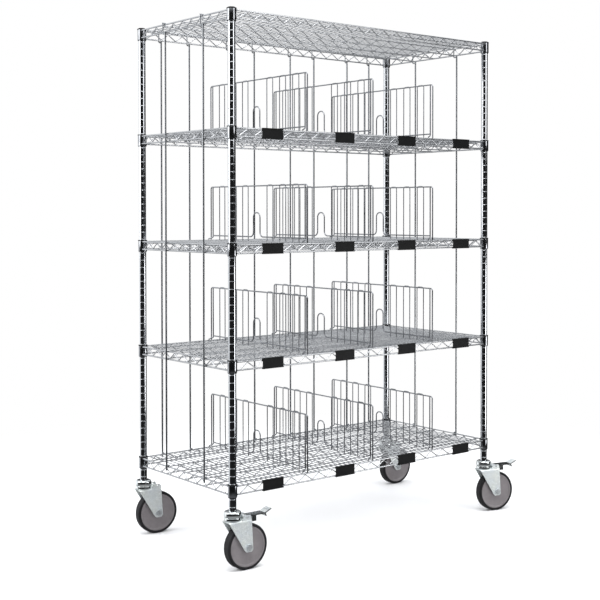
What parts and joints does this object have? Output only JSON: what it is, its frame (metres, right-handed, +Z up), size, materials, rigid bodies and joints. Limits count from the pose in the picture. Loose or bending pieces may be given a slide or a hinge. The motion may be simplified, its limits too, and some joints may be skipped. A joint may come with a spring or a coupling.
{
  "type": "wire shelf cart",
  "caption": "Mobile wire shelving cart with grooved posts, swivel casters, shelf dividers, label holders and upright enclosing rods.",
  "frame": {"origin": "on the floor, midway between the four post axes", "axes": "+X along the long sides, -Y towards the front with the label holders, +Z up"},
  "size_m": [1.3617, 0.6511, 1.8379],
  "materials": {
    "post_chrome": "bright chrome plate",
    "shelf_chrome": "bright chrome plate",
    "divider_chrome": "bright chrome plate",
    "rod_steel": "drawn steel, plated",
    "black_plastic": "moulded black plastic",
    "zinc": "bright zinc plate",
    "bolt_steel": "zinc-plated steel",
    "tread_rubber": "moulded rubber",
    "core_plastic": "moulded grey plastic",
    "bush_nylon": "natural nylon"
  },
  "bodies": {
    "root": {"post_front_left": "post_chrome", "post_front_right": "post_chrome", "post_rear_left": "post_chrome", "post_rear_right": "post_chrome", "post_caps": "black_plastic", "split_sleeves": "black_plastic", "label_holders": "black_plastic", "shelf_1": "shelf_chrome", "shelf_2": "shelf_chrome", "shelf_3": "shelf_chrome", "shelf_4": "shelf_chrome", "shelf_5": "shelf_chrome", "divider_1_left": "divider_chrome", "divider_1_middle": "divider_chrome", "divider_1_right": "divider_chrome", "divider_2_left": "divider_chrome", "divider_2_middle": "divider_chrome", "divider_2_right": "divider_chrome", "divider_3_left": "divider_chrome", "divider_3_middle": "divider_chrome", "divider_3_right": "divider_chrome", "divider_4_left": "divider_chrome", "divider_4_middle": "divider_chrome", "divider_4_right": "divider_chrome", "back_rods": "rod_steel", "side_rods": "rod_steel", "caster_front_left_stem": "zinc", "caster_front_right_stem": "zinc", "caster_rear_left_stem": "zinc", "caster_rear_right_stem": "zinc"},
    "caster_front_left_brake": {"caster_front_left_brake_pedal": "zinc"},
    "caster_front_left_swivel": {"caster_front_left_race": "zinc", "caster_front_left_fork": "zinc", "caster_front_left_axle_bolt": "bolt_steel", "caster_front_left_brake_pin": "bolt_steel"},
    "caster_front_left_wheel": {"caster_front_left_tread": "tread_rubber", "caster_front_left_wheel_core": "core_plastic", "caster_front_left_bush": "bush_nylon"},
    "caster_front_right_brake": {"caster_front_right_brake_pedal": "zinc"},
    "caster_front_right_swivel": {"caster_front_right_race": "zinc", "caster_front_right_fork": "zinc", "caster_front_right_axle_bolt": "bolt_steel", "caster_front_right_brake_pin": "bolt_steel"},
    "caster_front_right_wheel": {"caster_front_right_tread": "tread_rubber", "caster_front_right_wheel_core": "core_plastic", "caster_front_right_bush": "bush_nylon"},
    "caster_rear_left_swivel": {"caster_rear_left_race": "zinc", "caster_rear_left_fork": "zinc", "caster_rear_left_axle_bolt": "bolt_steel"},
    "caster_rear_left_wheel": {"caster_rear_left_tread": "tread_rubber", "caster_rear_left_wheel_core": "core_plastic", "caster_rear_left_bush": "bush_nylon"},
    "caster_rear_right_swivel": {"caster_rear_right_race": "zinc", "caster_rear_right_fork": "zinc", "caster_rear_right_axle_bolt": "bolt_steel"},
    "caster_rear_right_wheel": {"caster_rear_right_tread": "tread_rubber", "caster_rear_right_wheel_core": "core_plastic", "caster_rear_right_bush": "bush_nylon"}
  },
  "joints": [
    {"name": "caster_front_left_swivel", "type": "hinge", "parent": "root", "child": "caster_front_left_swivel", "pos_m": [-0.595, -0.28525, 0.18], "axis": [0, 0, 1], "continuous": true},
    {"name": "caster_front_left_roll", "type": "hinge", "parent": "caster_front_left_swivel", "child": "caster_front_left_wheel", "pos_m": [-0.54503, -0.287, 0.0762], "axis": [0.0349, 0.9994, 0], "continuous": true},
    {"name": "caster_front_left_brake_press", "type": "hinge", "parent": "caster_front_left_swivel", "child": "caster_front_left_brake", "pos_m": [-0.55103, -0.28679, 0.1765], "axis": [0.0349, 0.9994, 0], "range_deg": [0, 9]},
    {"name": "caster_front_right_swivel", "type": "hinge", "parent": "root", "child": "caster_front_right_swivel", "pos_m": [0.595, -0.28525, 0.18], "axis": [0, 0, 1], "continuous": true},
    {"name": "caster_front_right_roll", "type": "hinge", "parent": "caster_front_right_swivel", "child": "caster_front_right_wheel", "pos_m": [0.64351, -0.29735, 0.0762], "axis": [0.2419, 0.9703, 0], "continuous": true},
    {"name": "caster_front_right_brake_press", "type": "hinge", "parent": "caster_front_right_swivel", "child": "caster_front_right_brake", "pos_m": [0.63769, -0.2959, 0.1765], "axis": [0.2419, 0.9703, 0], "range_deg": [0, 9]},
    {"name": "caster_rear_left_swivel", "type": "hinge", "parent": "root", "child": "caster_rear_left_swivel", "pos_m": [-0.595, 0.28525, 0.18], "axis": [0, 0, 1], "continuous": true},
    {"name": "caster_rear_left_roll", "type": "hinge", "parent": "caster_rear_left_swivel", "child": "caster_rear_left_wheel", "pos_m": [-0.54527, 0.28002, 0.0762], "axis": [0.1045, 0.9945, 0], "continuous": true},
    {"name": "caster_rear_right_swivel", "type": "hinge", "parent": "root", "child": "caster_rear_right_swivel", "pos_m": [0.595, 0.28525, 0.18], "axis": [0, 0, 1], "continuous": true},
    {"name": "caster_rear_right_roll", "type": "hinge", "parent": "caster_rear_right_swivel", "child": "caster_rear_right_wheel", "pos_m": [0.64497, 0.28351, 0.0762], "axis": [0.0349, 0.9994, 0], "continuous": true}
  ]
}
